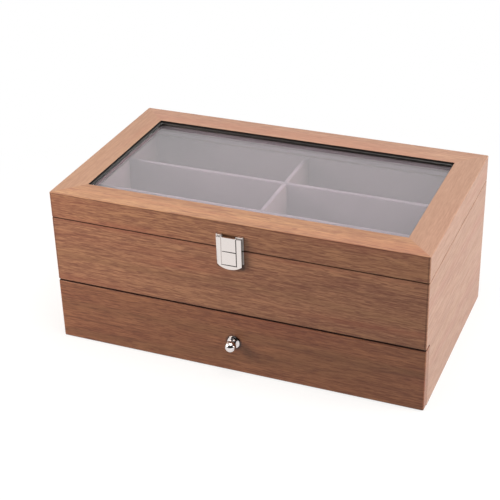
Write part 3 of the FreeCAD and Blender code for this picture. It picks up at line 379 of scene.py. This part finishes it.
def pane_glass():
    """Float glass, 3 mm, wiped but not polished: mirrors the pale room at a low look, with a trace of
    haze. Rays from the lamps go straight through it to what lies in the tray."""
    material, tree, place = new_material("float_glass")
    smears = add(tree, "TexNoise", {"Vector": place, "Scale": per_metre(45), "Detail": 4, "Roughness": 0.6})
    surface = add(tree, "BsdfPrincipled", {
        "Base Color": linear("#F8F2F5"),
        "Roughness": add(tree, "MapRange", smears, 0.35, 0.75, 0.03, 0.06, **SOFT),
        "IOR": 1.5,
        "Transmission Weight": 0.977,
    })
    clear = add(tree, "BsdfTransparent", linear("#F6FAFC"))
    to_lamp = add(tree, "LightPath", output="Is Shadow Ray")
    add(tree, "OutputMaterial", add(tree, "MixShader", to_lamp, surface, clear), output=None)
    return material


# painted shade in the recesses of the latch's flap and of the knob
RECESS_SHADE = "#2B2523"
DEEPEST_SHADE = 0.9                   # how far the painted shade darkens the metal at most
FAINTEST_SHADE = 0.15
LINE_DEPTH = 0.35 * MM              # of the lines pressed into the flap
LINES_FADE = (LATCH_LOW[0] + 4 * MM, 3 * MM)        # from the left of the flap to right of its middle, over which the painted shade in its lines grows
LINES_TOP = LATCH_HIGH[2] - 1.8 * MM
# painted shade rings the back plate here, and lies round the neck within these reaches
BACK_PLATE_RIM = KNOB_RADIUS - 0.6 * MM
NECK_REACH = (BACK_PLATE_RIM * 0.55, BACK_PLATE_RIM * 0.65)
NECK_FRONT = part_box("knob")[0][1] + 9.32 * MM
NECK_BACK = NECK_FRONT + 0.72 * MM


def in_flap_lines(tree, x, y, z):
    """Painted shade in the flap's lines, fading to the left, where they face away from the light, and none
    along its top.
    """
    depth = add(tree, "Math", y, LATCH_LOW[1], operation="SUBTRACT")
    deep = add(tree, "MapRange", depth, LINE_DEPTH * 0.6, LINE_DEPTH * 1.2, **SOFT)
    fading = add(tree, "MapRange", x, *LINES_FADE, FAINTEST_SHADE, DEEPEST_SHADE, **SOFT)
    return product(tree, deep, fading, add(tree, "Math", z, LINES_TOP, operation="LESS_THAN"))


def on_back_plate(tree, x, y, z):
    """Painted shade at the rim of the knob's back plate and close round the neck."""
    away = from_middle(tree, x, apart(tree, z, KNOB_AXIS))
    rim = (BACK_PLATE_RIM - SLIVER, BACK_PLATE_RIM + SLIVER)
    at_rim = add(tree, "MapRange", away, *rim, 0.0, DEEPEST_SHADE, **SOFT)
    at_neck = add(tree, "MapRange", away, *NECK_REACH, DEEPEST_SHADE, 0.0, **SOFT)
    return greatest(tree, at_rim, at_neck)


def behind_ball(tree, x, y, z):
    """Painted shade on the knob's neck, behind the ball."""
    return add(tree, "MapRange", y, NECK_FRONT, NECK_BACK, 0.0, DEEPEST_SHADE, **SOFT)


def bright_metal(name, tint, smooth, worn, painted_shade=None):
    """Plated and polished metal: mirror-like, a little wavy from the casting under it, with faint
    smears from fingers that dull the mirror from smooth to worn, and painted shade in its recesses."""
    material, tree, place = new_material(name)
    colour = linear(tint)
    if painted_shade:
        # painted shade in the piece's recesses
        in_shade = painted_shade(tree, *add(tree, "SeparateXYZ", place, output=None).outputs)
        colour = painted(tree, colour, (in_shade, RECESS_SHADE))
    smears = add(tree, "TexNoise", {"Vector": place, "Scale": per_metre(2.5), "Detail": 4, "Roughness": 0.6})
    casting = add(tree, "TexNoise", {"Vector": place, "Scale": per_metre(3), "Detail": 1})
    surface = add(tree, "BsdfPrincipled", {
        "Base Color": colour,
        "Metallic": 1.0,
        "Roughness": add(tree, "MapRange", smears, 0.35, 0.75, smooth, worn, **SOFT),
        "Normal": add(tree, "Bump", {"Height": casting, "Strength": 1.0, "Distance": 0.004 * MM}),
    })
    add(tree, "OutputMaterial", surface, output=None)
    return material


def finish_fittings():
    """Glass, bead and metalwork."""
    steel = bright_metal("zinc_plated_steel", "#B9B8B4", smooth=0.25, worn=0.40)
    brass = bright_metal("brass_plated_steel", "#D9B56A", smooth=0.18, worn=0.34)
    sheet = bright_metal("chrome_plated_sheet", "#E4DEDB", smooth=0.28, worn=0.36)
    finishes = {
        "lid_glass": pane_glass(),
        "lid_bead": black_bead(),
        "knob": bright_metal("polished_chrome_plate", "#DAD5D5", 0.06, 0.14, painted_shade=behind_ball),
        "knob_rosette": bright_metal("turned_chrome_plate", "#DAD5D5", 0.06, 0.14, painted_shade=on_back_plate),
        "latch_cover": bright_metal("engraved_chrome_plate", "#DBD4D1", 0.10, 0.20, painted_shade=in_flap_lines),
        "latch_lid_plate": sheet,
        "latch_case_plate": sheet,
        "latch_catch": sheet,
        "latch_pins": steel,
        "hinge_pins": steel,
    }
    for node in nodes:
        if node in finishes:
            give(nodes[node], finishes[node])
        elif node.endswith(("_screw", "_screws")):
            give(nodes[node], steel)
        elif node.startswith("hinge_"):
            give(nodes[node], brass)


# Studio

FLOOR_RADIUS = 1.6
FLOOR_SINK = 0.1 * MM           # under the case, so that their faces don't meet
SHADOW_SHARE = 0.25             # of the sheet's own shade, the rest is plain white
KEEP_SHADOW_WITHIN = 0.25       # from the middle of the floor
WHITE_BEYOND = 0.50


def floor():
    """A white sheet that keeps the soft shadow near the case and is plain white further out. Light that
    it throws back on the case is that of a grey table, as under a cut-out photograph."""
    material, tree, place = new_material("white_sheet")
    sheet = add(tree, "BsdfDiffuse", linear("#FFFFFF"))
    table = add(tree, "BsdfDiffuse", linear("#64605E"))
    plain_white = add(tree, "Emission", {"Color": linear("#FFFFFF"), "Strength": 1.0})
    away = add(tree, "VectorMath", place, operation="LENGTH", output="Value")
    far = add(tree, "MapRange", away, KEEP_SHADOW_WITHIN, WHITE_BEYOND, 1 - SHADOW_SHARE, 1.0, **SOFT)
    shown = add(tree, "MixShader", far, sheet, plain_white)
    thrown_back = add(tree, "LightPath", output="Is Diffuse Ray")
    add(tree, "OutputMaterial", add(tree, "MixShader", thrown_back, shown, table), output=None)
    shape = bmesh.new()
    bmesh.ops.create_circle(shape, cap_ends=True, segments=96, radius=FLOOR_RADIUS)
    mesh = bpy.data.meshes.new("floor")
    shape.to_mesh(mesh)
    shape.free()
    piece = bpy.data.objects.new("floor", mesh)
    piece.location.z = -FLOOR_SINK
    bpy.context.scene.collection.objects.link(piece)
    give(piece, material)


# The unlit end of the room, behind the camera
DARK_MIDDLE = Vector((0.39, -0.92, 0.0)).normalized()
DARK_SPREAD = 66                # degrees to each side
DARK_LOW = math.sin(math.radians(-8))
DARK_HIGH = math.sin(math.radians(46))

# How far to each side of those bounds it fades: in degrees, and in height on a room of radius 1
SIDE_FADE = 6
LOW_FADE = 0.03
HIGH_FADE = 0.08


def room():
    """A white room. Its fill light is soft and cool, and metal mirrors the unlit end of the room, which
    stands as a wide dark band above the floor."""
    world = bpy.data.worlds.new("white_room")
    world.use_nodes = True
    tree = world.node_tree
    tree.nodes.clear()
    ahead = add(tree, "TexCoord", output="Generated")
    height = add(tree, "SeparateXYZ", ahead, output="Z")
    level = add(tree, "VectorMath", ahead, (1, 1, 0), operation="MULTIPLY")
    level = add(tree, "VectorMath", level, operation="NORMALIZE")
    toward = add(tree, "VectorMath", level, DARK_MIDDLE, operation="DOT_PRODUCT", output="Value")
    outer, inner = [math.cos(math.radians(DARK_SPREAD + fade)) for fade in (SIDE_FADE, -SIDE_FADE)]
    wide = add(tree, "MapRange", toward, outer, inner, **SOFT)
    over = add(tree, "MapRange", height, DARK_LOW - LOW_FADE, DARK_LOW + LOW_FADE, **SOFT)
    under = add(tree, "MapRange", height, DARK_HIGH - HIGH_FADE, DARK_HIGH + HIGH_FADE, 1.0, 0.0, **SOFT)
    mirrored = add(tree, "LightPath", output="Is Glossy Ray")
    unlit = product(tree, wide, over, under, mirrored)
    shown = painted(tree, linear("#FFFFFF"), (unlit, "#1C1918"))
    white = add(tree, "Background", {"Color": shown, "Strength": 1.0})
    fill = add(tree, "Background", {"Color": linear("#EDF0FA"), "Strength": 0.15})
    lighting = add(tree, "LightPath", output="Is Diffuse Ray")
    add(tree, "OutputWorld", add(tree, "MixShader", lighting, white, fill), output=None)
    bpy.context.scene.world = world


# Where each lamp stands, where it looks, the side of its soft box in metres, its watts and its tint
LAMPS = {
    "overhead": ((0.25, -0.10, 1.50), (0, 0, 0.1), 1.0, 17.5, "#FFFCF6"),
    "right_side": ((1.25, 0.10, 0.38), (0.17, 0, 0.08), 0.5, 13, "#FFF6EE"),
    "front_left": ((-0.60, -0.42, 0.34), (-0.10, -0.1, 0.08), 0.4, 4.6, "#FFF0E2"),
    "back_edge": ((0.42, 1.05, 0.66), (-0.15, 0, 0.15), 0.14, 0.9, "#FFFFFF"),
}


def soft_lamp(name, place, aim, size, watts, tint):
    """A square soft box that looks at a point on the case."""
    lamp = bpy.data.lights.new(name, "AREA")
    lamp.size = size
    lamp.energy = watts
    lamp.color = linear(tint)[:3]
    holder = bpy.data.objects.new(name, lamp)
    holder.location = place
    holder.rotation_euler = (Vector(aim) - Vector(place)).to_track_quat("-Z", "Y").to_euler()
    bpy.context.scene.collection.objects.link(holder)


def camera():
    """The camera stands in front, to the right and above, and looks down at the case."""
    data = bpy.data.cameras.new("camera")
    data.lens = FOCAL_LENGTH
    data.sensor_width = SENSOR_WIDTH
    holder = bpy.data.objects.new("camera", data)
    bpy.context.scene.collection.objects.link(holder)
    turn = Matrix.Rotation(AZIMUTH, 4, "Z") @ Matrix.Rotation(math.radians(90) - ELEVATION, 4, "X")
    turn = turn @ Matrix.Rotation(ROLL, 4, "Z")
    back = turn @ Vector((0, 0, 1))
    holder.matrix_world = Matrix.Translation(LOOK_AT + DISTANCE * back.to_3d()) @ turn
    bpy.context.scene.camera = holder


camera()
finish_boards()
line_with_velvet()
finish_fittings()
floor()
room()
for lamp_name, lamp_looks in LAMPS.items():
    soft_lamp(lamp_name, *lamp_looks)

bpy.context.scene.view_settings.view_transform = "Standard"
